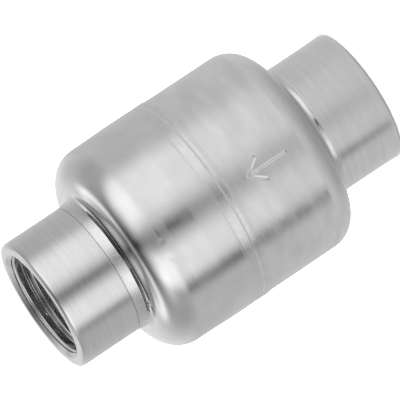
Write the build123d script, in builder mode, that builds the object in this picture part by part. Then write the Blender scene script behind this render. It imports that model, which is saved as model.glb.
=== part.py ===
from build123d import *
import os

# A spring-loaded in-line non-return valve in stainless steel, in millimetres.
# It stands on the inlet socket's end face, with +Z along the flow and the origin
# at the middle of that face. All round pieces are turned or drawn about Z.

# Whole body
overall_length = 74.3
lap_offset = 2.0              # middle of the valve to the middle of the weld round the barrel

# Threaded sockets, bored to the thread's crests
socket_od = 27.4
socket_length = 13.1          # end face to the middle of the butt weld
thread_crest_diameter = 18.63
end_ring_width = 1.3          # flat ring of the end face between its round edge and the mouth
mouth_depth = 1.3             # end face to where the mouth's cone meets the thread's crests
socket_edge_round = 0.8
register_length = 1.2         # spigot that lines the socket up in the shell's collar

# Deep-drawn shells
sheet = 1.5
barrel_od = 43.0
inlet_collar_length = 0.35    # middle of the butt weld to the start of the neck's bend
outlet_collar_length = 0.85
neck_bend = 1.5
inlet_shoulder_flat = 0.8     # flat ring between the neck's bend and the shoulder's
outlet_shoulder_flat = 0.1
skirt_swell = 0.15            # how far the lapped skirt stands out past the barrel
skirt_step_height = 6.6       # middle of the lap weld to the step in the outlet shell
skirt_step_length = 1.5
lap_wall = 0.75               # what the lap leaves of the skirt's sheet
rim_height = 4.75             # middle of the lap weld to the inlet shell's rim
fit_gap = 0.05                # radial clearance where one round piece slips into another

# Weld beads
butt_bead_width = 1.1
butt_bead_depth = 0.9
butt_bead_rise = 0.1
lap_bead_width = 2.5
lap_root_width = 1.5
lap_bead_rise = 0.2
heat_ridge_width = 2.4        # low swelling of the inlet shell beside the lap weld
heat_ridge_rise = 0.12

# Seat plate, a pressing with its flange clamped in the lap
seat_sheet = 1.0
seat_bore = 17.0
seat_drop = 7.9               # underside of the flange to underside of the floor
seat_lip_height = 2.0         # underside of the floor to the lip's top
seat_flange_width = 2.9       # rim to where the flange turns down
seat_wall_run = 2.0           # how far the wall leans in between flange and floor
seat_bend = 2.0
lip_bend = 1.3

# Three-legged cage over the seat
leg_count = 3
cage_sheet = 0.8
cage_flange_width = 2.6
cage_crown_radius = 12.0
cage_bend = 3.0
cage_flange_margin = 1.0      # flange to the windows' outer edge
cage_hub_margin = 0.7         # spring seat to the windows' inner edge
cage_leg_width = 5.0

# Three-legged guide under the seat
guide_sheet = 1.0
guide_foot_margin = 1.7       # edge of the seat plate's floor to the edge of the foot
guide_foot_width = 2.6
guide_dish_radius = 6.6
guide_drop = 4.6              # underside of the seat plate's floor to underside of the dish
guide_bend = 2.0
guide_foot_lap = 0.2          # foot to the windows' outer edge
guide_hub_margin = 0.5        # bush flange to the windows' inner edge
guide_leg_width = 3.2

# Stem and its bushes
stem_diameter = 4.0
pin_diameter = 3.0            # upper end of the stem, thin enough for the nut to pass over
stem_gap = 0.05               # radial running clearance in the bushes
stem_collar_diameter = 8.0
stem_collar_height = 1.0
stem_end_chamfer = 0.5
stem_overrun = 1.0            # how far the stem stays out of a bush at the end of its travel
bush_wall = 1.0
bush_flange_width = 0.85
bush_flange_height = 0.8
lower_bush_length = 4.4       # flange included
upper_bush_length = 5.8       # flange included

# Poppet
disc_edge_wall = 1.15         # wall of the disc round the seal
disc_height = 1.8
disc_skirt_height = 1.0       # how far the disc's edge comes down round the seal
disc_edge_round = 0.5
seal_diameter = 22.0
seal_height = 1.6
retainer_side_gap = 0.9       # between the retainer and the seat's bore
retainer_height = 1.4
retainer_chamfer = 0.7
washer_diameter = 7.4
washer_height = 0.9
washer_split = 0.7
nut_across_flats = 7.0
nut_height = 2.1
nut_chamfer_angle = 30

# Travel and spring
lift = 5.0
stop_gap = 0.2                # left between the nut and the upper bush at full lift
wire_diameter = 0.6
wire_flats = 8                # the round wire's section is drawn with this many sides
spring_diameter = 12.0        # mean diameter of the coils
working_turns = 3
end_coil_gap = 0.05           # between the closed coil at each end and the next turn
spring_groove_depth = 0.5
spring_side_gap = 0.3         # between the coils and what centres them
spring_seat_sheet = 0.5
spring_seat_rim = 1.2
spring_seat_bend = 0.8

# Radii of the body
socket_radius = socket_od / 2
crest_radius = thread_crest_diameter / 2
mouth_radius = socket_radius - socket_edge_round - end_ring_width
collar_bore = socket_radius - sheet
barrel_radius = barrel_od / 2
shoulder_width = barrel_radius - socket_radius - neck_bend
inlet_shoulder_bend = shoulder_width - inlet_shoulder_flat
outlet_shoulder_bend = shoulder_width - outlet_shoulder_flat
skirt_radius = barrel_radius + skirt_swell
lap_bore = skirt_radius - lap_wall
rim_radius = lap_bore - fit_gap

# Radii of the stem, its bushes and the spring
stem_radius = stem_diameter / 2
pin_radius = pin_diameter / 2
stem_hole = stem_radius + fit_gap
lower_bush_bore = stem_radius + stem_gap
upper_bush_bore = pin_radius + stem_gap
lower_bush_hole = lower_bush_bore + bush_wall + fit_gap
upper_bush_hole = upper_bush_bore + bush_wall + fit_gap
wire_radius = wire_diameter / 2
end_coil_pitch = wire_diameter + end_coil_gap
coil_radius = spring_diameter / 2
coil_inside = coil_radius - wire_radius - spring_side_gap
coil_outside = coil_radius + wire_radius + spring_side_gap
spring_seat_radius = coil_outside + spring_seat_sheet

# Radii of the poppet and of the pressings round it
seal_radius = seal_diameter / 2
seal_recess = seal_radius + fit_gap
disc_radius = seal_recess + disc_edge_wall
retainer_radius = seat_bore / 2 - retainer_side_gap
seat_flange_inner = rim_radius - seat_flange_width
seat_floor_outer = seat_flange_inner - seat_wall_run
cage_flange_inner = rim_radius - cage_flange_width
cage_window_outer = cage_flange_inner - cage_flange_margin
cage_window_inner = spring_seat_radius + cage_hub_margin
guide_foot_outer = seat_floor_outer - guide_foot_margin
guide_foot_inner = guide_foot_outer - guide_foot_width
guide_window_outer = guide_foot_inner - guide_foot_lap
guide_window_inner = lower_bush_bore + bush_wall + bush_flange_width + guide_hub_margin

# Heights of the body
inlet_weld_z = socket_length
outlet_weld_z = overall_length - socket_length
inlet_face_z = inlet_weld_z + inlet_collar_length + neck_bend
outlet_face_z = outlet_weld_z - outlet_collar_length - neck_bend
lap_height = overall_length / 2 + lap_offset
lap_root_bottom_z = lap_height - lap_root_width / 2
lap_root_top_z = lap_height + lap_root_width / 2
lap_bead_bottom_z = lap_height - lap_bead_width / 2
lap_bead_top_z = lap_height + lap_bead_width / 2
skirt_step_z = lap_height + skirt_step_height
rim_z = lap_height + rim_height
cage_flange_z = rim_z + seat_sheet
lap_shoulder_z = cage_flange_z + cage_sheet

# Heights of the poppet, closed
floor_z = rim_z - seat_drop
lip_z = floor_z + seat_lip_height
seal_top_z = lip_z + seal_height
disc_top_z = seal_top_z + disc_height
washer_top_z = disc_top_z + washer_height
nut_top_z = washer_top_z + nut_height
retainer_z = lip_z - retainer_height
collar_z = retainer_z - stem_collar_height

# Heights of the guides and the spring, set by the poppet at full lift
upper_bush_z = nut_top_z + lift + stop_gap
spring_seat_z = upper_bush_z + bush_flange_height
hub_z = spring_seat_z + spring_seat_sheet
upper_bush_top_z = upper_bush_z + upper_bush_length
dish_z = floor_z - guide_drop
lower_bush_z = dish_z - bush_flange_height
stem_bottom_z = lower_bush_z - lift - stem_overrun
stem_top_z = upper_bush_top_z + stem_overrun
spring_z = disc_top_z - spring_groove_depth

os.makedirs("parts", exist_ok=True)


def sheet_section(thickness, side, bends, *corners):
    """Half section of a pressed sheet: one side's outline, thickened to the other side."""
    with BuildSketch(Plane.XZ) as section:
        with BuildLine():
            FilletPolyline(*corners, radius=bends)
            offset(amount=thickness, side=side, kind=Kind.INTERSECTION)
        make_face()
    return section.sketch


def turned_section(*corners):
    """Half section of a turned piece with sharp corners."""
    with BuildSketch(Plane.XZ) as section:
        with BuildLine():
            Polyline(*corners, close=True)
        make_face()
    return section.sketch


def butt_bead_section(weld_z):
    """Half section of a butt weld: a V groove with a low crown."""
    with BuildSketch(Plane.XZ) as section:
        with BuildLine():
            low = (socket_radius, weld_z - butt_bead_width / 2)
            high = (socket_radius, weld_z + butt_bead_width / 2)
            Polyline(low, (socket_radius - butt_bead_depth, weld_z), high)
            ThreePointArc(high, (socket_radius + butt_bead_rise, weld_z), low)
        make_face()
    return section.sketch


def bush_section(bore, bottom_z, length):
    """Half section of a plastic bush with its flange at the bottom."""
    outside = bore + bush_wall
    flange = outside + bush_flange_width
    return turned_section(
        (bore, bottom_z),
        (flange, bottom_z),
        (flange, bottom_z + bush_flange_height),
        (outside, bottom_z + bush_flange_height),
        (outside, bottom_z + length),
        (bore, bottom_z + length),
    )


def leg_windows(inner, outer, leg_width):
    """Plan of the windows between the legs of a round pressing."""
    with BuildSketch() as windows:
        Circle(outer)
        Circle(inner, mode=Mode.SUBTRACT)
        with PolarLocations(outer / 2, leg_count):
            Rectangle(outer, leg_width, mode=Mode.SUBTRACT)
    return windows.sketch


# Inlet socket: turned bar, coned mouth, rounded end, spigot into the shell's collar
with BuildPart() as inlet_socket:
    with BuildSketch(Plane.XZ):
        with BuildLine():
            FilletPolyline(
                (mouth_radius, 0),
                (socket_radius, 0),
                (socket_radius, inlet_weld_z),
                radius=socket_edge_round,
            )
            Polyline(
                (socket_radius, inlet_weld_z),
                (collar_bore - fit_gap, inlet_weld_z),
                (collar_bore - fit_gap, inlet_weld_z + register_length),
                (crest_radius, inlet_weld_z + register_length),
                (crest_radius, mouth_depth),
                (mouth_radius, 0),
            )
        make_face()
    revolve(axis=Axis.Z)
    revolve(butt_bead_section(inlet_weld_z), axis=Axis.Z, mode=Mode.SUBTRACT)
inlet_socket.part.label = "inlet_socket"
export_step(inlet_socket.part, "parts/inlet_socket.step")

# Outlet socket: the same piece, turned end for end
with BuildPart() as outlet_socket:
    mirror(inlet_socket.part, about=Plane.XY.offset(overall_length / 2))
outlet_socket.part.label = "outlet_socket"
export_step(outlet_socket.part, "parts/outlet_socket.step")

# Inlet shell: deep-drawn cup, its rim turned down on the outside to slip into the skirt
with BuildPart() as inlet_shell:
    inlet_outline = (
        (socket_radius, inlet_weld_z),
        (socket_radius, inlet_face_z),
        (barrel_radius, inlet_face_z),
        (barrel_radius, rim_z),
    )
    inlet_bends = (neck_bend, inlet_shoulder_bend)
    revolve(sheet_section(sheet, Side.LEFT, inlet_bends, *inlet_outline), axis=Axis.Z)
    revolve(butt_bead_section(inlet_weld_z), axis=Axis.Z, mode=Mode.SUBTRACT)
    lapped_outside = turned_section(
        (rim_radius, lap_root_bottom_z),
        (skirt_radius, lap_root_bottom_z),
        (skirt_radius, rim_z),
        (rim_radius, rim_z),
    )
    revolve(lapped_outside, axis=Axis.Z, mode=Mode.SUBTRACT)
    with BuildSketch(Plane.XZ):
        with BuildLine():
            ridge_foot = (barrel_radius, lap_bead_bottom_z - heat_ridge_width)
            ridge_crest = (barrel_radius + heat_ridge_rise, lap_bead_bottom_z - heat_ridge_width / 2)
            ThreePointArc(ridge_foot, ridge_crest, (barrel_radius, lap_bead_bottom_z))
            Line((barrel_radius, lap_bead_bottom_z), ridge_foot)
        make_face()
    revolve(axis=Axis.Z)
inlet_shell.part.label = "inlet_shell"
export_step(inlet_shell.part, "parts/inlet_shell.step")

# Outlet shell: deep-drawn cup with a slightly expanded skirt, bored out for the lap
with BuildPart() as outlet_shell:
    outlet_outline = (
        (socket_radius, outlet_weld_z),
        (socket_radius, outlet_face_z),
        (barrel_radius, outlet_face_z),
        (barrel_radius, skirt_step_z + skirt_step_length),
        (skirt_radius, skirt_step_z),
        (skirt_radius, lap_root_top_z),
    )
    outlet_bends = (neck_bend, outlet_shoulder_bend, 0, 0)
    revolve(sheet_section(sheet, Side.RIGHT, outlet_bends, *outlet_outline), axis=Axis.Z)
    revolve(butt_bead_section(outlet_weld_z), axis=Axis.Z, mode=Mode.SUBTRACT)
    lap_recess = turned_section(
        (0, lap_root_top_z),
        (lap_bore, lap_root_top_z),
        (lap_bore, lap_shoulder_z),
        (0, lap_shoulder_z),
    )
    revolve(lap_recess, axis=Axis.Z, mode=Mode.SUBTRACT)
outlet_shell.part.label = "outlet_shell"
export_step(outlet_shell.part, "parts/outlet_shell.step")

# Butt welds between the sockets and the collars
with BuildPart() as inlet_socket_weld:
    revolve(butt_bead_section(inlet_weld_z), axis=Axis.Z)
inlet_socket_weld.part.label = "inlet_socket_weld"
export_step(inlet_socket_weld.part, "parts/inlet_socket_weld.step")

with BuildPart() as outlet_socket_weld:
    revolve(butt_bead_section(outlet_weld_z), axis=Axis.Z)
outlet_socket_weld.part.label = "outlet_socket_weld"
export_step(outlet_socket_weld.part, "parts/outlet_socket_weld.step")

# Lap weld round the barrel: a root between the skirt's end and the inlet shell, and a crown
with BuildPart() as body_weld:
    with BuildSketch(Plane.XZ):
        with BuildLine():
            Polyline(
                (skirt_radius, lap_bead_top_z),
                (skirt_radius, lap_root_top_z),
                (rim_radius, lap_root_top_z),
                (rim_radius, lap_root_bottom_z),
                (barrel_radius, lap_root_bottom_z),
                (barrel_radius, lap_bead_bottom_z),
            )
            ThreePointArc(
                (barrel_radius, lap_bead_bottom_z),
                (barrel_radius + lap_bead_rise, lap_height),
                (skirt_radius, lap_bead_top_z),
            )
        make_face()
    revolve(axis=Axis.Z)
body_weld.part.label = "body_weld"
export_step(body_weld.part, "parts/body_weld.step")

# Seat plate: dished pressing, its bore drawn up into the lip that the seal closes on
with BuildPart() as seat_plate:
    seat_outline = (
        (rim_radius, rim_z),
        (seat_flange_inner, rim_z),
        (seat_floor_outer, floor_z),
        (seat_bore / 2, floor_z),
        (seat_bore / 2, lip_z),
    )
    seat_bends = (seat_bend, seat_bend, lip_bend)
    revolve(sheet_section(seat_sheet, Side.RIGHT, seat_bends, *seat_outline), axis=Axis.Z)
seat_plate.part.label = "seat_plate"
export_step(seat_plate.part, "parts/seat_plate.step")

# Lower guide: dished pressing spot-welded under the seat plate, pierced to leave its legs
with BuildPart() as lower_guide:
    guide_outline = (
        (guide_foot_outer, floor_z),
        (guide_foot_inner, floor_z),
        (guide_dish_radius, dish_z + guide_sheet),
        (lower_bush_hole, dish_z + guide_sheet),
    )
    revolve(sheet_section(guide_sheet, Side.LEFT, guide_bend, *guide_outline), axis=Axis.Z)
    with BuildSketch(Plane.XY.offset(dish_z)):
        add(leg_windows(guide_window_inner, guide_window_outer, guide_leg_width))
    extrude(amount=guide_drop, mode=Mode.SUBTRACT)
lower_guide.part.label = "lower_guide"
export_step(lower_guide.part, "parts/lower_guide.step")

# Guide cage: domed pressing over the poppet, its flange clamped on the seat plate's
with BuildPart() as guide_cage:
    cage_outline = (
        (rim_radius, cage_flange_z),
        (cage_flange_inner, cage_flange_z),
        (cage_crown_radius, hub_z),
        (upper_bush_hole, hub_z),
    )
    revolve(sheet_section(cage_sheet, Side.RIGHT, cage_bend, *cage_outline), axis=Axis.Z)
    with BuildSketch(Plane.XY.offset(cage_flange_z)):
        add(leg_windows(cage_window_inner, cage_window_outer, cage_leg_width))
    extrude(amount=hub_z + cage_sheet - cage_flange_z, mode=Mode.SUBTRACT)
guide_cage.part.label = "guide_cage"
export_step(guide_cage.part, "parts/guide_cage.step")

# Flanged plastic bushes that guide the stem, one up through each pressing's hub
with BuildPart() as lower_guide_bush:
    revolve(bush_section(lower_bush_bore, lower_bush_z, lower_bush_length), axis=Axis.Z)
lower_guide_bush.part.label = "lower_guide_bush"
export_step(lower_guide_bush.part, "parts/lower_guide_bush.step")

with BuildPart() as upper_guide_bush:
    revolve(bush_section(upper_bush_bore, upper_bush_z, upper_bush_length), axis=Axis.Z)
upper_guide_bush.part.label = "upper_guide_bush"
export_step(upper_guide_bush.part, "parts/upper_guide_bush.step")

# Spring seat: cup washer under the hub, its rim turned down round the top coil
with BuildPart() as spring_seat:
    spring_seat_outline = (
        (upper_bush_hole, hub_z),
        (spring_seat_radius, hub_z),
        (spring_seat_radius, spring_seat_z - spring_seat_rim),
    )
    cup = sheet_section(spring_seat_sheet, Side.RIGHT, spring_seat_bend, *spring_seat_outline)
    revolve(cup, axis=Axis.Z)
spring_seat.part.label = "spring_seat"
export_step(spring_seat.part, "parts/spring_seat.step")

# Poppet disc: turned, with a skirt round the seal and a groove for the spring's bottom coil
with BuildPart() as poppet_disc:
    disc_section = turned_section(
        (stem_hole, seal_top_z),
        (seal_recess, seal_top_z),
        (seal_recess, seal_top_z - disc_skirt_height),
        (disc_radius, seal_top_z - disc_skirt_height),
        (disc_radius, disc_top_z),
        (coil_outside, disc_top_z),
        (coil_outside, spring_z),
        (coil_inside, spring_z),
        (coil_inside, disc_top_z),
        (stem_hole, disc_top_z),
    )
    revolve(disc_section, axis=Axis.Z)
    top_rings = poppet_disc.edges().filter_by(GeomType.CIRCLE).group_by(Axis.Z)[-1]
    fillet(top_rings.sort_by(SortBy.RADIUS)[-1], disc_edge_round)
poppet_disc.part.label = "poppet_disc"
export_step(poppet_disc.part, "parts/poppet_disc.step")

# Seat seal: flat rubber ring in the disc, resting on the seat's lip
with BuildPart() as seat_seal:
    with BuildSketch(Plane.XY.offset(lip_z)):
        Circle(seal_radius)
        Circle(stem_hole, mode=Mode.SUBTRACT)
    extrude(amount=seal_height)
seat_seal.part.label = "seat_seal"
export_step(seat_seal.part, "parts/seat_seal.step")

# Seal retainer: plate inside the seat's bore that holds the seal up against the disc
with BuildPart() as seal_retainer:
    with BuildSketch(Plane.XY.offset(retainer_z)):
        Circle(retainer_radius)
        Circle(stem_hole, mode=Mode.SUBTRACT)
    extrude(amount=retainer_height)
    lower_rings = seal_retainer.edges().filter_by(GeomType.CIRCLE).group_by(Axis.Z)[0]
    chamfer(lower_rings.sort_by(SortBy.RADIUS)[-1], retainer_chamfer)
seal_retainer.part.label = "seal_retainer"
export_step(seal_retainer.part, "parts/seal_retainer.step")

# Stem: turned rod whose collar carries the retainer, the seal and the disc, with a thinner
# guide pin above the nut
with BuildPart() as stem:
    stem_section = turned_section(
        (0, stem_bottom_z),
        (stem_radius - stem_end_chamfer, stem_bottom_z),
        (stem_radius, stem_bottom_z + stem_end_chamfer),
        (stem_radius, collar_z),
        (stem_collar_diameter / 2, collar_z),
        (stem_collar_diameter / 2, retainer_z),
        (stem_radius, retainer_z),
        (stem_radius, nut_top_z),
        (pin_radius, nut_top_z),
        (pin_radius, stem_top_z - stem_end_chamfer),
        (pin_radius - stem_end_chamfer, stem_top_z),
        (0, stem_top_z),
    )
    revolve(stem_section, axis=Axis.Z)
stem.part.label = "stem"
export_step(stem.part, "parts/stem.step")

# Split washer on the disc
with BuildPart() as lock_washer:
    with BuildSketch(Plane.XY.offset(disc_top_z)):
        Circle(washer_diameter / 2)
        Circle(stem_hole, mode=Mode.SUBTRACT)
        with Locations((washer_diameter / 2, 0)):
            Rectangle(washer_diameter, washer_split, mode=Mode.SUBTRACT)
    extrude(amount=washer_height)
lock_washer.part.label = "lock_washer"
export_step(lock_washer.part, "parts/lock_washer.step")

# Thin hexagon nut, its upper corners turned off by a cone
with BuildPart() as stem_nut:
    with BuildSketch(Plane.XY.offset(washer_top_z)) as nut_plan:
        RegularPolygon(nut_across_flats / 2, 6, major_radius=False)
        Circle(stem_hole, mode=Mode.SUBTRACT)
    extrude(amount=nut_height)
    with BuildSketch(Plane.XY.offset(nut_top_z)):
        Circle(nut_across_flats / 2)
    extrude(amount=-nut_height, taper=nut_chamfer_angle - 90, mode=Mode.INTERSECT)
stem_nut.part.label = "stem_nut"
export_step(stem_nut.part, "parts/stem_nut.step")

# Spring: three working turns between two closed coils, both ends ground flat
with BuildPart() as spring:
    ground_off = wire_radius / 2
    coil_start_z = spring_z + wire_radius - ground_off
    coil_end_z = spring_seat_z - wire_radius + ground_off
    working_height = coil_end_z - coil_start_z - 2 * end_coil_pitch
    with BuildLine() as coil_line:
        bottom_coil = Helix(end_coil_pitch, end_coil_pitch, coil_radius, center=(0, 0, coil_start_z))
        Helix(
            working_height / working_turns,
            working_height,
            coil_radius,
            center=(0, 0, coil_start_z + end_coil_pitch),
        )
        Helix(end_coil_pitch, end_coil_pitch, coil_radius, center=(0, 0, coil_end_z - end_coil_pitch))
    with BuildSketch(Plane(origin=bottom_coil @ 0, z_dir=bottom_coil % 0)):
        RegularPolygon(wire_radius, wire_flats)
    sweep(path=coil_line.wire(), is_frenet=True)
    with BuildSketch(Plane.XY.offset(spring_z)):
        Circle(coil_outside)
    extrude(amount=spring_seat_z - spring_z, mode=Mode.INTERSECT)
spring.part.label = "spring"
export_step(spring.part, "parts/spring.step")
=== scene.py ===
import math

import bmesh
import bpy
import numpy as np
from mathutils import Matrix, Vector


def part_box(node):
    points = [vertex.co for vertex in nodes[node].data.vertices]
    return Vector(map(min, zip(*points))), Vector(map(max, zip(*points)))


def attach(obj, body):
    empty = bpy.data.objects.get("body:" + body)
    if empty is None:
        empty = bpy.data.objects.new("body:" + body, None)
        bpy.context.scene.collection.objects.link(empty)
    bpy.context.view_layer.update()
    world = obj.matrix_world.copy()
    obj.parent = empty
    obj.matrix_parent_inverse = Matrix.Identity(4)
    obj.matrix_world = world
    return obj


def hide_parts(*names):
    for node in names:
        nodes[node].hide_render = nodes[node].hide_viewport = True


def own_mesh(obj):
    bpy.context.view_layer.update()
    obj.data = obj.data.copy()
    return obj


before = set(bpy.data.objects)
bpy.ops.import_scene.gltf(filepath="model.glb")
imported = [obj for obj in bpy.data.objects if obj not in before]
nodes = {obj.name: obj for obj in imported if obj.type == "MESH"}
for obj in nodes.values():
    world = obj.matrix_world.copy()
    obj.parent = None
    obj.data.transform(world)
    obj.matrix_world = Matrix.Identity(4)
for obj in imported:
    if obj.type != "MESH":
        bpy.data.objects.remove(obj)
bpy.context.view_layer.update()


# Seat plate, the two three-legged guides and the spring's cup washer.
# Pressed from bright stainless sheet, the windows pierced. The seat plate and
# the upper cage are clamped between the shells, the lower guide is spot-welded.
usual_low, usual_high = 0.3, 0.7    # most of a noise's values lie between these


def noise(tree, cells, detail=3.0, seed=0.0):
    """Noise over a piece in place, with this many cells per millimetre along X, Y and Z."""
    where = tree.nodes.new("ShaderNodeTexCoord")
    stretch = tree.nodes.new("ShaderNodeMapping")
    stretch.inputs["Location"].default_value = (seed, 1.7 * seed, -seed)
    stretch.inputs["Scale"].default_value = [1000 * number for number in cells]
    pattern = tree.nodes.new("ShaderNodeTexNoise")
    pattern.inputs["Scale"].default_value = 1.0
    pattern.inputs["Detail"].default_value = detail
    tree.links.new(where.outputs["Object"], stretch.inputs["Vector"])
    tree.links.new(stretch.outputs["Vector"], pattern.inputs["Vector"])
    return pattern.outputs["Fac"]


def spread(tree, pattern, low, high):
    """The pattern's usual values, drawn out from low to high."""
    node = tree.nodes.new("ShaderNodeMapRange")
    node.inputs["From Min"].default_value = usual_low
    node.inputs["From Max"].default_value = usual_high
    node.inputs["To Min"].default_value = low
    node.inputs["To Max"].default_value = high
    tree.links.new(pattern, node.inputs["Value"])
    return node.outputs["Result"]


def shades(tree, pattern, dark, light):
    """Two greys or colours, mixed by the pattern."""
    ramp = tree.nodes.new("ShaderNodeValToRGB")
    ramp.color_ramp.elements[0].position = usual_low
    ramp.color_ramp.elements[0].color = (*dark, 1)
    ramp.color_ramp.elements[1].position = usual_high
    ramp.color_ramp.elements[1].color = (*light, 1)
    tree.links.new(pattern, ramp.inputs["Fac"])
    return ramp.outputs["Color"]


def relief(tree, layers):
    """One bump on the next, for (pattern, height in mm) pairs."""
    normal = None
    for pattern, height in layers:
        bump = tree.nodes.new("ShaderNodeBump")
        bump.inputs["Strength"].default_value = 1.0
        bump.inputs["Distance"].default_value = height / 1000
        tree.links.new(pattern, bump.inputs["Height"])
        if normal:
            tree.links.new(normal, bump.inputs["Normal"])
        normal = bump.outputs["Normal"]
    return normal


def new_material(name, metallic):
    """A material with its tree and its shader."""
    material = bpy.data.materials.new(name)
    material.use_nodes = True
    tree = material.node_tree
    shader = tree.nodes["Principled BSDF"]
    shader.inputs["Metallic"].default_value = metallic
    return material, tree, shader


def worn_steel(name, dark, light, smooth, rough, blotch, layers):
    """Bare stainless steel: its grey and gloss wander a little, with fine marks in relief."""
    material, tree, shader = new_material(name, metallic=1.0)
    patch = noise(tree, blotch, detail=4.0)
    tree.links.new(shades(tree, patch, (dark,) * 3, (light,) * 3), shader.inputs["Base Color"])
    haze = noise(tree, [2.3 * number for number in blotch], detail=5.0, seed=4.0)
    tree.links.new(spread(tree, haze, smooth, rough), shader.inputs["Roughness"])
    marks = [(noise(tree, cells, seed=7.0), height) for cells, height in layers]
    tree.links.new(relief(tree, marks), shader.inputs["Normal"])
    return material


def dress(piece, material):
    """Give a piece one material over all of it."""
    piece.data.materials.clear()
    piece.data.materials.append(material)


pressed_steel = worn_steel(
    "pressed stainless sheet",
    dark=0.50,
    light=0.62,
    smooth=0.20,
    rough=0.36,
    blotch=(0.35, 0.35, 0.35),
    layers=[((0.6, 0.6, 0.6), 0.010), ((6.0, 1.2, 6.0), 0.002)],
)
for name in ("seat_plate", "lower_guide", "guide_cage", "spring_seat"):
    dress(nodes[name], pressed_steel)


# Guide bushes: natural white acetal, moulded, pushed through the hub of each
# guide so that the flange bears on it. The stem slides in them.
bush_material, tree, shader = new_material("natural acetal", metallic=0.0)
bush_cloud = noise(tree, (0.5, 0.5, 0.5), detail=4.0)
bush_shades = shades(tree, bush_cloud, (0.70, 0.68, 0.62), (0.78, 0.77, 0.72))
tree.links.new(bush_shades, shader.inputs["Base Color"])
bush_haze = noise(tree, (3, 3, 3), detail=4.0)
tree.links.new(spread(tree, bush_haze, 0.38, 0.55), shader.inputs["Roughness"])
bush_relief = relief(tree, [(noise(tree, (4, 4, 4), seed=2.0), 0.004)])
tree.links.new(bush_relief, shader.inputs["Normal"])
shader.inputs["Subsurface Weight"].default_value = 0.15
shader.inputs["Subsurface Scale"].default_value = 0.001
for name in ("lower_guide_bush", "upper_guide_bush"):
    dress(nodes[name], bush_material)


# Poppet: disc, seal retainer and stem turned from stainless bar, held together
# by a split washer and a thin nut. Cutting marks run round each turned piece.
turned_inside = worn_steel(
    "turned stainless, inside parts",
    dark=0.52,
    light=0.62,
    smooth=0.16,
    rough=0.28,
    blotch=(0.4, 0.4, 0.9),
    layers=[((0.2, 0.2, 7.0), 0.003), ((1.5, 1.5, 1.5), 0.004)],
)
for name in ("poppet_disc", "seal_retainer", "stem", "stem_nut"):
    dress(nodes[name], turned_inside)
spring_steel = worn_steel(
    "drawn spring wire",
    dark=0.42,
    light=0.52,
    smooth=0.22,
    rough=0.34,
    blotch=(0.8, 0.8, 0.8),
    layers=[((2.5, 2.5, 9.0), 0.002)],
)
dress(nodes["lock_washer"], spring_steel)


# Seat seal: flat ring of black rubber, punched from moulded sheet, clamped in
# the disc by the retainer. It closes on the seat plate's lip.
seal_material, tree, shader = new_material("black seal rubber", metallic=0.0)
seal_cloud = noise(tree, (0.6, 0.6, 0.6), detail=5.0)
seal_shades = shades(tree, seal_cloud, (0.012, 0.012, 0.012), (0.030, 0.029, 0.028))
tree.links.new(seal_shades, shader.inputs["Base Color"])
seal_haze = noise(tree, (2, 2, 2), detail=4.0)
tree.links.new(spread(tree, seal_haze, 0.55, 0.78), shader.inputs["Roughness"])
seal_relief = relief(tree, [(noise(tree, (5, 5, 5), detail=4.0, seed=3.0), 0.010)])
tree.links.new(seal_relief, shader.inputs["Normal"])
dress(nodes["seat_seal"], seal_material)


# Spring: round hard-drawn wire, coiled with a closed and ground turn at each
# end. It sits between the disc's groove and the cup washer. In the valve it
# shortens towards the washer as the disc lifts; here it is built at one length
# and rides with the body.
def extent(node):
    """Outer radius, lower end and upper end of a round CAD piece, in millimetres."""
    low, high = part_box(node)
    return [round(1000 * number, 3) for number in (high[0], low[2], high[2])]


def added(name, data):
    """A new object in the scene, at the origin."""
    thing = bpy.data.objects.new(name, data)
    bpy.context.scene.collection.objects.link(thing)
    return thing


def solid_mesh(name, points, faces, crease=35.0):
    """A smooth piece from points in millimetres, with an edge where faces meet at over the crease."""
    mesh = bpy.data.meshes.new(name)
    mesh.vertices.add(len(points))
    mesh.vertices.foreach_set("co", (np.asarray(points) / 1000).astype(np.float32).ravel())
    mesh.loops.add(4 * len(faces))
    mesh.loops.foreach_set("vertex_index", np.asarray(faces, np.int32).ravel())
    mesh.polygons.add(len(faces))
    mesh.polygons.foreach_set("loop_start", np.arange(0, 4 * len(faces), 4, dtype=np.int32))
    mesh.update(calc_edges=True)
    mesh.validate()
    mesh.shade_smooth()
    mesh.set_sharp_from_angle(angle=math.radians(crease))
    return added(name, mesh)


spring_radius, spring_bottom, spring_top = extent("spring")
wire_radius = 0.30
wire_sides = 12
coil_radius = spring_radius - wire_radius
ground_off = 0.5 * wire_radius
closed_pitch = 0.65
working_turns = 3
all_turns = working_turns + 2
steps_per_turn = 96
coil_low, coil_high = spring_bottom + ground_off, spring_top - ground_off
working_pitch = (coil_high - coil_low - 2 * closed_pitch) / working_turns
turn = np.linspace(0, all_turns, all_turns * steps_per_turn + 1)
coil_height = (
    coil_low
    + closed_pitch * np.clip(turn, 0, 1)
    + working_pitch * np.clip(turn - 1, 0, working_turns)
    + closed_pitch * np.clip(turn - 1 - working_turns, 0, 1)
)
around = np.radians(np.arange(0, 360, 360 // wire_sides))
wire_out = coil_radius + wire_radius * np.cos(around)[None, :]
wire_up = coil_height[:, None] + wire_radius * np.sin(around)[None, :]
wire_points = np.stack(
    [
        wire_out * np.cos(2 * np.pi * turn)[:, None],
        wire_out * np.sin(2 * np.pi * turn)[:, None],
        np.clip(wire_up, spring_bottom, spring_top),
    ],
    axis=-1,
).reshape(-1, 3)
last_ring = (len(turn) - 1) * wire_sides
ring_start = np.arange(0, last_ring, wire_sides)[:, None]
here = ring_start + np.arange(wire_sides)[None, :]
beside = ring_start + (np.arange(wire_sides)[None, :] + 1) % wire_sides
wire_faces = np.stack([here, here + wire_sides, beside + wire_sides, beside], axis=-1).reshape(-1, 4)
end_caps = []
for ring in (list(range(wire_sides)), list(range(last_ring + wire_sides - 1, last_ring - 1, -1))):
    for k in range(wire_sides // 2 - 1):
        end_caps.append([ring[k], ring[k + 1], ring[-2 - k], ring[-1 - k]])
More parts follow.
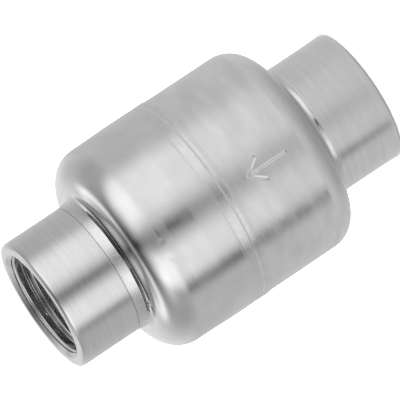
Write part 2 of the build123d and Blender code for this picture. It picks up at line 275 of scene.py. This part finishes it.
wire_faces = np.concatenate([wire_faces, np.array(end_caps)])
coil_spring = solid_mesh("coil_spring", wire_points, wire_faces)
dress(coil_spring, spring_steel)
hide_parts("spring")
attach(coil_spring, "valve_body")
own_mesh(coil_spring)


# Inlet shell: half of the body, deep-drawn from stainless sheet, then satin
# brushed round. Its rim slips inside the other half. A plain flow arrow is
# stamped in its barrel, pointing to the outlet.
def run(start, end, step):
    """Points from start up to end, end left out, no further apart than the step."""
    count = max(1, math.ceil(math.dist(start, end) / step))
    share = np.arange(count)[:, None] / count
    return np.array(start) * (1 - share) + np.array(end) * share


def bend(centre, radius, start, end, step):
    """Points on an arc between two angles in degrees, the last one left out."""
    count = max(2, math.ceil(math.radians(abs(end - start)) * radius / step))
    angle = np.radians(start + (end - start) * np.arange(count) / count)
    return np.array(centre) + radius * np.stack([np.cos(angle), np.sin(angle)], axis=-1)


def turned(name, outline, angles, reshape=None, crease=35.0):
    """Revolve a closed outline of (radius, height) points about Z through the angles given."""
    outline = np.asarray(outline, float)
    radius, height = outline[:, 0], outline[:, 1]
    area = np.sum(radius * np.roll(height, -1) - np.roll(radius, -1) * height)
    radius = np.repeat(radius[:, None], len(angles), 1)
    height = np.repeat(height[:, None], len(angles), 1)
    if reshape:
        radius, height = reshape(radius, height, angles[None, :])
    points = np.stack([radius * np.cos(angles), radius * np.sin(angles), height], axis=-1)
    down, across = radius.shape
    row, column = np.meshgrid(np.arange(down), np.arange(across), indexing="ij")
    next_row, next_column = (row + 1) % down, (column + 1) % across
    corners = [
        row * across + column,
        row * across + next_column,
        next_row * across + next_column,
        next_row * across + column,
    ]
    if area < 0:
        corners.reverse()
    faces = np.stack(corners, axis=-1).reshape(-1, 4)
    return solid_mesh(name, points.reshape(-1, 3), faces, crease)


def apart(angles, middle):
    """Angles measured from the middle one in degrees, in radians between minus pi and pi."""
    return (angles - math.radians(middle) + math.pi) % (2 * math.pi) - math.pi


def hand_worked(angles, height, depth):
    """The slight waviness of a drawn and brushed surface, in millimetres."""
    return depth * (
        np.sin(3 * angles + 0.35 * height)
        + 0.7 * np.sin(7 * angles - 0.55 * height + 1.3)
        + 0.5 * np.sin(13 * angles + 0.9 * height + 2.1)
    )


def stroke(aside, height, start, end):
    """Distance from a straight line between two places on the unrolled barrel."""
    start, end = np.array(start), np.array(end)
    way = end - start
    share = ((aside - start[0]) * way[0] + (height - start[1]) * way[1]) / way.dot(way)
    share = np.clip(share, 0, 1)
    return np.hypot(aside - start[0] - share * way[0], height - start[1] - share * way[1])


sheet = 1.5
collar = extent("inlet_socket")[0]  # the shells' collars are as wide as the sockets
barrel = 21.5
barrel_bore = barrel - sheet
neck_bend = 1.5
weld_groove = 0.9
weld_half = 0.55
groove_foot = collar - weld_groove


def domed_end(weld, way, face, shoulder):
    """Outside and inside of a shell's end, up to its barrel. Face is measured from the weld."""
    neck = (collar + neck_bend, face - neck_bend)
    top = (barrel - shoulder, face + shoulder)
    bore = collar - sheet
    first = math.degrees(math.asin(max(0.0, weld_half - neck[1]) / neck_bend))
    outside = [
        run((bore, 0), (groove_foot, 0), 0.6),
        run((groove_foot, 0), (collar, weld_half), 0.5),
        run((collar, weld_half), (collar, max(weld_half, neck[1])), 0.1),
        bend(neck, neck_bend, 180 - first, 90, 0.1),
        run((neck[0], face), (top[0], face), 0.2),
        bend(top, shoulder, -90, 0, 0.2),
    ]
    inside = [
        bend(top, shoulder - sheet, 0, -90, 0.5),
        run((top[0], face + sheet), (neck[0], face + sheet), 0.5),
        bend(neck, neck_bend + sheet, 90, 180, 0.4),
        run((bore, neck[1]), (bore, 0), 0.6),
    ]
    return [np.concatenate(side) * (1, way) + (0, weld) for side in (outside, inside)]


inlet_weld, rim = extent("inlet_shell")[1:]
inlet_shoulder = 5.5
inlet_face = 1.85
inlet_wall = inlet_weld + inlet_face + inlet_shoulder
rim_outside = 20.85
lap_low = 38.4
ridge_foot = 35.5
ridge_swell = 0.02
ridge_rows = 16
skin = 0.05                         # points this close under the outside belong to it
inlet_wave = 0.006
camera_side = -90.0                 # the side towards the camera, in degrees from X
arrow_angle = camera_side - 3.0
arrow_low, arrow_high = 24.0, 32.4
arrow_head = 2.3
arrow_line = 0.26
arrow_depth = 0.07
arrow_rows_low, arrow_rows_high = arrow_low - 1.0, arrow_high + 1.0
fine_half = 9.0                     # degrees each side of the arrow that are meshed finely


def inlet_marks(radius, height, angles):
    """Waviness and the stamped arrow, on the outside of the inlet shell only."""
    from_bend = np.hypot(radius - barrel + inlet_shoulder, height - inlet_wall)
    on_barrel = (height > inlet_wall) & (radius > barrel - skin)
    on_dome = (height <= inlet_wall) & (from_bend > inlet_shoulder - skin)
    outside = (on_barrel | on_dome) & (radius > collar + neck_bend)
    wave = hand_worked(angles, height, inlet_wave)
    aside = apart(angles, arrow_angle) * barrel
    barb = arrow_high - 1.25 * arrow_head
    nearest = np.minimum.reduce(
        [
            stroke(aside, height, (0, arrow_low), (0, arrow_high)),
            stroke(aside, height, (0, arrow_high), (-arrow_head, barb)),
            stroke(aside, height, (0, arrow_high), (arrow_head, barb)),
        ]
    )
    groove = arrow_depth * np.exp(-((nearest / arrow_line) ** 2))
    lip = 0.25 * arrow_depth * np.exp(-(((nearest - 2 * arrow_line) / arrow_line) ** 2))
    return radius + np.where(outside, wave - groove + lip, 0.0), height


even = np.arange(0, 360, 1.0)
fine = arrow_angle + np.arange(-fine_half, fine_half, 0.24)
spaced = even[np.abs(apart(np.radians(even), arrow_angle)) > math.radians(fine_half + 0.4)]
inlet_angles = np.sort(np.radians(np.concatenate([spaced, fine % 360])))
dome_outside, dome_inside = domed_end(inlet_weld, 1, inlet_face, inlet_shoulder)
ridge_share = np.arange(ridge_rows) / ridge_rows
heat_ridge = np.stack(
    [
        barrel + ridge_swell * np.sin(0.5 * math.pi * ridge_share) ** 2,
        ridge_foot + (lap_low - ridge_foot) * ridge_share,
    ],
    axis=-1,
)
inlet_outline = np.concatenate(
    [
        dome_outside,
        run((barrel, inlet_wall), (barrel, arrow_rows_low), 0.5),
        run((barrel, arrow_rows_low), (barrel, arrow_rows_high), 0.13),
        run((barrel, arrow_rows_high), (barrel, ridge_foot), 0.4),
        heat_ridge,
        run((barrel + ridge_swell, lap_low), (rim_outside, lap_low), 0.7),
        run((rim_outside, lap_low), (rim_outside, rim), 1.5),
        run((rim_outside, rim), (barrel_bore, rim), 0.9),
        run((barrel_bore, rim), (barrel_bore, inlet_wall), 3.0),
        dome_inside,
    ]
)
satin_steel = worn_steel(
    "satin drawn stainless",
    dark=0.62,
    light=0.72,
    smooth=0.18,
    rough=0.27,
    blotch=(0.12, 0.12, 0.35),
    layers=[((0.12, 0.12, 4.0), 0.0030), ((1.6, 1.6, 1.6), 0.0040)],
)
drawn_inlet_shell = turned("drawn_inlet_shell", inlet_outline, inlet_angles, inlet_marks)
dress(drawn_inlet_shell, satin_steel)
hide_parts("inlet_shell")
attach(drawn_inlet_shell, "valve_body")


# Outlet shell: the other half, drawn from the same sheet and left bright. Its
# barrel widens gently into a skirt, opened out to lap over the inlet shell's
# rim. Two small handling dents lie near the shoulder.
def close_to(angles, height, where, radius):
    """Distance in millimetres from a place given as (angle in degrees, height)."""
    return np.hypot(apart(angles, where[0]) * radius, height - where[1])


skirt, skirt_end, outlet_weld = extent("outlet_shell")
outlet_shoulder = 6.2
outlet_face = 2.35
outlet_wall = outlet_weld - outlet_face - outlet_shoulder
taper_high, taper_low = 50.8, 45.4
skirt_bore = 20.9
lap_seat = 45.7
outlet_wave = 0.005
dents = [                           # (angle, height), width, depth
    ((camera_side - 15.5, 53.1), 0.55, 0.05),
    ((camera_side - 6.0, 53.0), 0.50, 0.03),
]
spatter = (camera_side - 47.0, 59.0)
spatter_radius = 14.6
spatter_width, spatter_height = 0.42, 0.45
spatter_reach = 16.0                # nothing outside this radius belongs to the bead


def outlet_marks(radius, height, angles):
    """Waviness, dents and a bead of spatter in the neck, on the outside of the shell only."""
    from_bend = np.hypot(radius - barrel + outlet_shoulder, height - outlet_wall)
    on_barrel = (height < outlet_wall) & (radius > barrel - skin)
    on_dome = (height >= outlet_wall) & (from_bend > outlet_shoulder - skin)
    outside = (on_barrel | on_dome) & (radius > collar + neck_bend)
    change = hand_worked(angles + 1.0, height, outlet_wave)
    for where, width, depth in dents:
        off = close_to(angles, height, where, barrel)
        change = change - depth * np.exp(-((off / width) ** 2))
    off = np.hypot(close_to(angles, height, spatter, spatter_radius), radius - spatter_radius)
    bead = spatter_height * np.exp(-((off / spatter_width) ** 2))
    bead = np.where(radius < spatter_reach, bead, 0.0)
    return radius + np.where(outside, change, 0.0), height + bead


outlet_angles = np.radians(np.arange(0, 360, 0.9))
dome_outside, dome_inside = domed_end(outlet_weld, -1, outlet_face, outlet_shoulder)
outlet_outline = np.concatenate(
    [
        dome_outside,
        run((barrel, outlet_wall), (barrel, taper_high), 0.25),
        run((barrel, taper_high), (skirt, taper_low), 0.2),
        run((skirt, taper_low), (skirt, skirt_end), 0.4),
        run((skirt, skirt_end), (skirt_bore, skirt_end), 0.8),
        run((skirt_bore, skirt_end), (skirt_bore, lap_seat), 1.5),
        run((skirt_bore, lap_seat), (barrel_bore, lap_seat), 0.9),
        run((barrel_bore, lap_seat), (barrel_bore, outlet_wall), 2.0),
        dome_inside,
    ]
)
bright_steel = worn_steel(
    "bright drawn stainless",
    dark=0.62,
    light=0.70,
    smooth=0.10,
    rough=0.17,
    blotch=(0.15, 0.15, 0.15),
    layers=[((0.15, 0.15, 2.5), 0.0015), ((2.2, 2.2, 2.2), 0.0035)],
)
drawn_outlet_shell = turned("drawn_outlet_shell", outlet_outline, outlet_angles, outlet_marks)
dress(drawn_outlet_shell, bright_steel)
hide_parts("outlet_shell")
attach(drawn_outlet_shell, "valve_body")


# Lap weld round the barrel: one pass laid over the skirt's edge while the body
# turned, then brushed. It leaves a broad flat bead and a narrow one with a
# shallow groove between, and runs out over the inlet shell.
weld_steel = worn_steel(
    "brushed weld metal",
    dark=0.62,
    light=0.69,
    smooth=0.19,
    rough=0.30,
    blotch=(0.5, 0.5, 0.5),
    layers=[((0.8, 0.8, 1.6), 0.004), ((3.0, 3.0, 3.0), 0.002)],
)
lap_top, lap_toe = 40.4, 36.3
lap_profile = [                     # height, radius
    (lap_toe, barrel + 0.145),
    (37.2, barrel + 0.165),
    (37.9, barrel + 0.135),
    (38.3, barrel + 0.17),
    (39.9, barrel + 0.08),
    (40.3, barrel + 0.165),
    (lap_top, barrel + 0.165),
]
lap_rows = 72
lap_inside = barrel - 0.1           # the bead is fused this deep into the inlet shell
broad_drift, short_drift = 0.005, 0.004


def ridge(height):
    """Radius of the weld: the broad bead falls off towards the skirt, the narrow one lies below."""
    return np.interp(height, *zip(*lap_profile))


def lap_ripples(radius, height, angles):
    """Faint ripples of the pass, on its outside only, and never proud of the profile."""
    outside = radius > barrel - skin
    ripple = 0.0025 * np.sin(150 * angles + 1.5 * (height - lap_toe) ** 2)
    drift = broad_drift * np.sin(5 * angles + 0.8) + short_drift * np.sin(17 * angles)
    change = ripple + drift - (broad_drift + short_drift)
    return radius + np.where(outside, change, 0.0), height


weld_angles = np.radians(np.arange(0, 360, 0.6))
lap_height = np.linspace(lap_top, lap_toe, lap_rows, endpoint=False)
lap_edge = ridge(lap_top) - 0.02
lap_outline = np.concatenate(
    [
        np.stack([ridge(lap_height), lap_height], axis=-1),
        run((barrel + ridge_swell - 0.03, lap_toe), (lap_inside, lap_toe), 0.2),
        run((lap_inside, lap_toe), (lap_inside, lap_low), 1.1),
        run((lap_inside, lap_low), (rim_outside, lap_low), 0.7),
        run((rim_outside, lap_low), (rim_outside, skirt_end), 1.5),
        run((rim_outside, skirt_end), (lap_edge, skirt_end), 0.7),
        run((lap_edge, skirt_end), (lap_edge, lap_top), 0.5),
    ]
)
lap_weld = turned("lap_weld", lap_outline, weld_angles, lap_ripples)
dress(lap_weld, weld_steel)
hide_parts("body_weld")
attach(lap_weld, "valve_body")


# Sockets: turned from stainless bar and tapped right through with a parallel
# pipe thread, 14 turns to the inch. The mouth is chamfered and opened out to
# lead the pipe in; a short spigot lines each up in its collar for welding.
outlet_end = extent("outlet_socket")[2]
thread_pitch = 1.814
thread_crest = 9.315
thread_root = 10.4775
crest_flat = 1.3                    # over 1, it flattens the thread's crests and roots
mouth = 11.6
lead_bore, lead_low, lead_high = 10.4, 2.35, 1.2
chamfer_bore, chamfer_low, chamfer_high = 10.75, 0.9, 0.62
thread_start, thread_seen = 2.7, 6.0
tool_lines, tool_depth = 0.35, 0.03
spigot = 12.15
spigot_end = extent("inlet_socket")[2]
spigot_bore = thread_root + 0.5


def tapped(phase):
    """The thread's form in the bore, and the tool's lines on the chamfer."""

    def cut(radius, height, angles):
        turns = (height / thread_pitch - angles / (2 * math.pi) + phase) % 1.0
        wave = 1.0 - 4.0 * np.abs(turns - 0.5)
        form = np.sin(0.5 * math.pi * np.clip(crest_flat * wave, -1, 1))
        thread = thread_crest + (thread_root - thread_crest) * (0.5 + 0.5 * form)
        lines = tool_depth * np.sin(2 * math.pi * (mouth - radius) / tool_lines)
        chamfer = (radius > chamfer_bore + 0.02) & (radius < mouth - 0.02)
        bore = np.where(radius < lead_bore - 0.01, np.maximum(radius, thread), radius)
        return np.where(chamfer, radius + lines, bore), height

    return cut


def socket_outside(edge_round):
    """From the mouth round the free edge to the weld and the spigot's end."""
    edge = collar - edge_round
    groove_start = inlet_weld - weld_half
    return np.concatenate(
        [
            run((mouth, 0), (mouth + 0.1, 0), 0.1),
            run((mouth + 0.1, 0), (edge, 0), 0.4),
            bend((edge, edge_round), edge_round, -90, 0, 0.1),
            run((collar, edge_round), (collar, groove_start), 0.8),
            run((collar, groove_start), (groove_foot, inlet_weld), 0.6),
            run((groove_foot, inlet_weld), (spigot, inlet_weld), 0.7),
            run((spigot, inlet_weld), (spigot, spigot_end), 1.2),
            run((spigot, spigot_end), (spigot_bore, spigot_end), 1.0),
        ]
    )


socket_angles = np.radians(np.arange(0, 360, 1.5))
socket_bore = np.concatenate(
    [
        run((spigot_bore, spigot_end), (thread_crest, spigot_end), 0.5),
        run((thread_crest, spigot_end), (thread_crest, thread_seen), 0.14),
        run((thread_crest, thread_seen), (thread_crest, thread_start), 0.05),
        run((thread_crest, thread_start), (lead_bore, lead_low), 0.05),
        run((lead_bore, lead_low), (lead_bore, lead_high), 0.2),
        run((lead_bore, lead_high), (chamfer_bore, chamfer_low), 0.1),
        run((chamfer_bore, chamfer_low), (chamfer_bore, chamfer_high), 0.1),
        run((chamfer_bore, chamfer_high), (mouth, 0), 0.06),
    ]
)
turned_steel = worn_steel(
    "turned stainless",
    dark=0.61,
    light=0.67,
    smooth=0.16,
    rough=0.22,
    blotch=(0.12, 0.12, 1.2),
    layers=[((0.10, 0.10, 3.2), 0.0010), ((2.4, 2.4, 2.4), 0.0024)],
)
tree = turned_steel.node_tree
shader = tree.nodes["Principled BSDF"]
shader.inputs["Anisotropic"].default_value = 0.5
shader.inputs["Anisotropic Rotation"].default_value = 0.25
round_the_bar = tree.nodes.new("ShaderNodeTangent")
round_the_bar.direction_type = "RADIAL"
round_the_bar.axis = "Z"
tree.links.new(round_the_bar.outputs["Tangent"], shader.inputs["Tangent"])
tapped_steel = worn_steel(
    "tapped stainless",
    dark=0.52,
    light=0.58,
    smooth=0.13,
    rough=0.20,
    blotch=(0.3, 0.3, 0.6),
    layers=[((0.8, 0.8, 0.8), 0.0008)],
)
for name, way, end, edge_round, phase in (
    ("inlet_socket", 1, 0.0, 0.3, 0.0),
    ("outlet_socket", -1, outlet_end, 0.8, 0.25),
):
    outside = socket_outside(edge_round)
    outline = np.concatenate([outside, socket_bore]) * (1, way) + (0, end)
    socket = turned("tapped_" + name, outline, socket_angles, tapped(phase), crease=50.0)
    dress(socket, turned_steel)
    socket.data.materials.append(tapped_steel)
    in_bore = np.arange(len(socket.data.polygons)) >= len(outside) * len(socket_angles)
    socket.data.polygons.foreach_set("material_index", in_bore.astype(np.int32))
    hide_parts(name)
    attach(socket, "valve_body")


# Butt welds between the sockets and the collars: one pass each, brushed bright.
# The inlet's is narrow and round, with a dark spot painted on the camera's side
# for the dark it mirrors there. The outlet's is fuller and slopes out into the
# neck; painted shade darkens the crease at its toe, and a fainter painted line marks its top edge.
# Painted shade: a dark grey laid where the bead's crease and top edge fall in shade, and on a spot
# where the bead mirrors dark.
painted_shade_steel = worn_steel(
    "painted shade beside the weld",
    dark=0.13,
    light=0.25,
    smooth=0.24,
    rough=0.36,
    blotch=(0.6, 0.6, 0.6),
    layers=[((1.2, 1.2, 3.0), 0.006)],
)
flush = collar + 0.01
inlet_pass_low, inlet_pass_high = inlet_weld + 0.05, inlet_weld + 0.95
inlet_crown, inlet_crown_height = collar + 0.22, inlet_pass_low + 0.10
inlet_edge, inlet_under = collar + 0.08, collar - 0.1
# Painted shade: a dark spot on the inlet bead on the camera's side, standing in for the dark it
# mirrors there.
painted_spot = (camera_side + 1.0, inlet_weld + 0.4)
painted_spot_wide, painted_spot_high = 0.8, 0.15
outlet_top, outlet_toe = outlet_weld + 0.22, outlet_weld - 1.75
outlet_crown = collar + 0.50
slope_rows = 24
# top of the faint painted dark line at the outlet weld's top edge
painted_line_top = outlet_top + 0.12
collar_start = outlet_weld + weld_half + 0.05
toe_out, toe_in = collar + 0.80, collar + 0.40
toe_low, toe_dip = outlet_toe - 0.36, outlet_toe - 0.10
far_fullness = 0.35


def butt_ripples(radius, height, angles):
    """The pass wanders a little on its way round and stands proudest on the camera's side."""
    proud = radius > collar + 0.02
    nearness = np.clip(np.cos(apart(angles, camera_side)), 0, 1) ** 0.6
    fullness = far_fullness + (1 - far_fullness) * nearness
    ripple = 0.0015 * np.sin(150 * angles)
    drift = 0.012 * np.sin(11 * angles + 2.0) * np.sin(4 * angles)
    wander = 0.05 * np.sin(5 * angles + 1.0) + 0.03 * np.sin(12 * angles)
    shaped = collar + (radius - collar) * fullness + ripple + drift
    return np.where(proud, shaped, radius), height + np.where(proud, wander, 0.0)


inlet_pass = np.concatenate(
    [
        run((flush, inlet_weld - weld_half), (flush, inlet_pass_low), 0.2),
        run((flush, inlet_pass_low), (inlet_crown, inlet_crown_height), 0.08),
        run((inlet_crown, inlet_crown_height), (inlet_edge, inlet_pass_high), 0.1),
        run((inlet_edge, inlet_pass_high), (inlet_under, inlet_pass_high), 0.1),
        run((inlet_under, inlet_pass_high), (groove_foot, inlet_weld), 0.4),
        run((groove_foot, inlet_weld), (flush, inlet_weld - weld_half), 0.4),
    ]
)
toe = np.concatenate(
    [
        run((toe_out, toe_low), (toe_in, toe_dip), 0.1),
        run((toe_in, toe_dip), (outlet_crown, outlet_toe), 0.06),
    ]
)
slope_share = np.arange(slope_rows) / slope_rows
slope = np.stack(
    [
        flush + (outlet_crown - flush) * (1 - slope_share) ** 1.6,
        outlet_toe + (outlet_top - outlet_toe) * slope_share,
    ],
    axis=-1,
)
outlet_pass = np.concatenate(
    [
        toe,
        slope,
        run((flush, outlet_top), (flush, painted_line_top), 0.13),
        run((flush, painted_line_top), (flush, collar_start), 0.1),
        run((flush, collar_start), (groove_foot, outlet_weld), 0.4),
        run((groove_foot, outlet_weld), (toe_in, toe_low), 0.5),
    ]
)
for name, outline in (("inlet_socket_weld", inlet_pass), ("outlet_socket_weld", outlet_pass)):
    bead = turned("smooth_" + name, outline, weld_angles, butt_ripples)
    dress(bead, weld_steel)
    bead.data.materials.append(painted_shade_steel)
    # Painted shade goes on a spot on the inlet bead's camera side, and on the outlet bead's toe rows
    # and the row at its top edge.
    if name == "inlet_socket_weld":
        middle = 1000 * np.array([face.center for face in bead.data.polygons])
        aside = apart(np.arctan2(middle[:, 1], middle[:, 0]), painted_spot[0]) * collar
        painted_dark = np.hypot(aside / painted_spot_wide, (middle[:, 2] - painted_spot[1]) / painted_spot_high) < 1
    else:
        row = np.arange(len(bead.data.polygons)) // len(weld_angles)
        painted_dark = (row < len(toe)) | (row == len(toe) + len(slope))
    bead.data.polygons.foreach_set("material_index", painted_dark.astype(np.int32))
    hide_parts(name)
    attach(bead, "valve_body")


# Floor and room: a plain white floor in a white room, under a wide soft light
# that the steel doesn't mirror.
floor_half = 8.0
floor_corners = [(x * floor_half, y * floor_half, 0) for x, y in ((-1, -1), (1, -1), (1, 1), (-1, 1))]
floor_mesh = bpy.data.meshes.new("floor")
floor_mesh.from_pydata(floor_corners, [], [(0, 1, 2, 3)])
floor = added("floor", floor_mesh)
floor.location = (0, 0, -0.0001)
floor.visible_glossy = False
floor.visible_shadow = False
floor_material, tree, shader = new_material("white floor", metallic=0.0)
floor_cloud = noise(tree, (0.002, 0.002, 0.002), detail=2.0)
tree.links.new(shades(tree, floor_cloud, (0.86,) * 3, (0.88,) * 3), shader.inputs["Base Color"])
shader.inputs["Roughness"].default_value = 0.9
shader.inputs["Specular IOR Level"].default_value = 0.0
floor_mesh.materials.append(floor_material)

softbox = bpy.data.lights.new("overhead softbox", "AREA")
softbox.shape = "DISK"
softbox.size = 3.0
softbox.energy = 180.0
overhead = added("overhead softbox", softbox)
overhead.location = (0, 0, 2.0)
overhead.visible_glossy = False
overhead.visible_camera = False

world = bpy.data.worlds.new("white room")
world.use_nodes = True
bpy.context.scene.world = world
tree = world.node_tree
room = tree.nodes["Background"]
room.inputs["Color"].default_value = (1, 1, 1, 1)
room.inputs["Strength"].default_value = 0.75
plain = tree.nodes.new("ShaderNodeBackground")
plain.inputs["Color"].default_value = (1, 1, 1, 1)
plain.inputs["Strength"].default_value = 1.2
seen = tree.nodes.new("ShaderNodeLightPath")
choice = tree.nodes.new("ShaderNodeMixShader")
tree.links.new(seen.outputs["Is Camera Ray"], choice.inputs["Fac"])
tree.links.new(room.outputs["Background"], choice.inputs[1])
tree.links.new(plain.outputs["Background"], choice.inputs[2])
tree.links.new(choice.outputs["Shader"], tree.nodes["World Output"].inputs["Surface"])
bpy.context.scene.view_settings.view_transform = "Standard"


# Light tent: a round tent of white cloth that only the steel's reflections see.
# Two broad panels light it from in front, with a narrow gap between them and a
# dark crown above.
tent_radius, tent_middle = 0.25, 0.05
tent_shape = bmesh.new()
bmesh.ops.create_icosphere(tent_shape, subdivisions=6, radius=tent_radius)
tent_mesh = bpy.data.meshes.new("light_tent")
tent_shape.to_mesh(tent_mesh)
tent_shape.free()
tent_mesh.shade_smooth()
tent = added("light_tent", tent_mesh)
tent.location = (0, 0, tent_middle)
tent.visible_camera = False
tent.visible_diffuse = False
tent.visible_shadow = False
tent.visible_transmission = False
cloth = bpy.data.materials.new("lit tent cloth")
cloth.use_nodes = True
cloth.cycles.emission_sampling = "NONE"
cloth_tree = cloth.node_tree
cloth_tree.nodes.clear()
tent_mesh.materials.append(cloth)


def worked(kind, first, second=None):
    """One arithmetic step on outputs or numbers."""
    node = cloth_tree.nodes.new("ShaderNodeMath")
    node.operation = kind
    for entry, value in zip(node.inputs, (first, second)):
        if isinstance(value, (int, float)):
            entry.default_value = value
        elif value is not None:
            cloth_tree.links.new(value, entry)
    return node.outputs["Value"]


def degrees(value):
    """An output in radians, in degrees."""
    return worked("MULTIPLY", value, 180 / math.pi)


def soft(angle, middle, width, sharpness=2):
    """One at the middle angle, fading to both sides. A higher sharpness gives a flatter top."""
    off = worked("DIVIDE", worked("SUBTRACT", angle, middle), width)
    off = worked("POWER", worked("ABSOLUTE", off), sharpness)
    return worked("EXPONENT", worked("MULTIPLY", off, -1.0))


def fade_in(value, low, high):
    """Nought below the low value, one above the high one, and smooth between."""
    node = cloth_tree.nodes.new("ShaderNodeMapRange")
    node.interpolation_type = "SMOOTHSTEP"
    node.inputs["From Min"].default_value = low
    node.inputs["From Max"].default_value = high
    cloth_tree.links.new(value, node.inputs["Value"])
    return node.outputs["Result"]


def product(*factors):
    """All the factors multiplied."""
    result = factors[0]
    for factor in factors[1:]:
        result = worked("MULTIPLY", result, factor)
    return result


spot = cloth_tree.nodes.new("ShaderNodeTexCoord")
outward = cloth_tree.nodes.new("ShaderNodeVectorMath")
outward.operation = "NORMALIZE"
cloth_tree.links.new(spot.outputs["Object"], outward.inputs[0])
parts = cloth_tree.nodes.new("ShaderNodeSeparateXYZ")
cloth_tree.links.new(outward.outputs["Vector"], parts.inputs["Vector"])
east, north, up = parts.outputs["X"], parts.outputs["Y"], parts.outputs["Z"]
west, south = worked("MULTIPLY", east, -1.0), worked("MULTIPLY", north, -1.0)
azimuth = degrees(worked("ARCTAN2", west, south))
elevation = degrees(worked("ARCSINE", up))
crown_tilt = math.radians(60.0)
crown_back = worked("MULTIPLY", north, math.cos(crown_tilt))
crown_up = worked("MULTIPLY", up, math.sin(crown_tilt))
from_crown = degrees(worked("ARCCOSINE", worked("ADD", crown_back, crown_up)))
above_table = fade_in(elevation, -28.0, -14.0)
behind = worked("MAXIMUM", north, 0.0)
to_the_side = fade_in(worked("ABSOLUTE", east), 0.03, 0.30)
crown_edge = product(soft(from_crown, 27, 7), fade_in(elevation, 28.0, 48.0))
east_panel = product(soft(azimuth, -40.5, 31, 4), soft(elevation, 20, 38, 3))
west_panel = product(soft(azimuth, 41, 22, 4), soft(elevation, 20, 36, 3))
least_glow = 0.05
glow = 0.47                         # of the bare cloth, before the lights and shades below
for light in (
    product(soft(elevation, -30, 25), 0.27),                                # table's glow
    product(soft(elevation, -90, 16), -0.07),                               # under the valve
    product(soft(elevation, 82, 23), -0.42),                                # dark crown
    product(east_panel, above_table, 0.87),
    product(west_panel, above_table, 0.90),
    product(soft(azimuth, 62, 20), soft(elevation, 42, 15), 0.50),          # west panel's top
    product(soft(azimuth, 4, 9), above_table, -0.15),                       # gap between them
    product(soft(azimuth, 4, 8), soft(elevation, -8.5, 4), -0.32),          # foot of the gap
    product(soft(azimuth, 67, 9), soft(elevation, -17, 10.5), -0.47),       # dark low corner
    product(behind, behind, fade_in(elevation, -14.0, 6.0), 0.45),          # light from behind
    product(crown_edge, 0.38),                                              # rim of the crown
    product(crown_edge, to_the_side, 0.45),                                 # brighter at its sides
):
    glow = worked("ADD", glow, light)
lit = cloth_tree.nodes.new("ShaderNodeEmission")
cloth_tree.links.new(worked("MAXIMUM", glow, least_glow), lit.inputs["Strength"])
surface = cloth_tree.nodes.new("ShaderNodeOutputMaterial")
cloth_tree.links.new(lit.outputs["Emission"], surface.inputs["Surface"])


# Camera: in front of the standing valve and a little towards its outlet, with
# a long lens, rolled so that the outlet points to the lower left.
camera_data = bpy.data.cameras.new("camera")
camera_data.lens = 539.6
camera_data.sensor_width = 36.0
camera_data.clip_end = 50.0
camera = added("camera", camera_data)
height_angle = math.radians(13.87)
camera_roll = math.radians(-123.68)
distance = 1.1355
valve_middle = Vector((0, 0, 0.037))
back = Vector((0, -math.cos(height_angle), math.sin(height_angle)))
upright = (-back).to_track_quat("-Z", "Y").to_matrix().to_4x4()
rolled = upright @ Matrix.Rotation(camera_roll, 4, "Z")
framing = rolled @ Vector((-0.000303, 0.0, 0.0))
camera.matrix_world = Matrix.Translation(valve_middle + distance * back + framing) @ rolled
bpy.context.scene.camera = camera
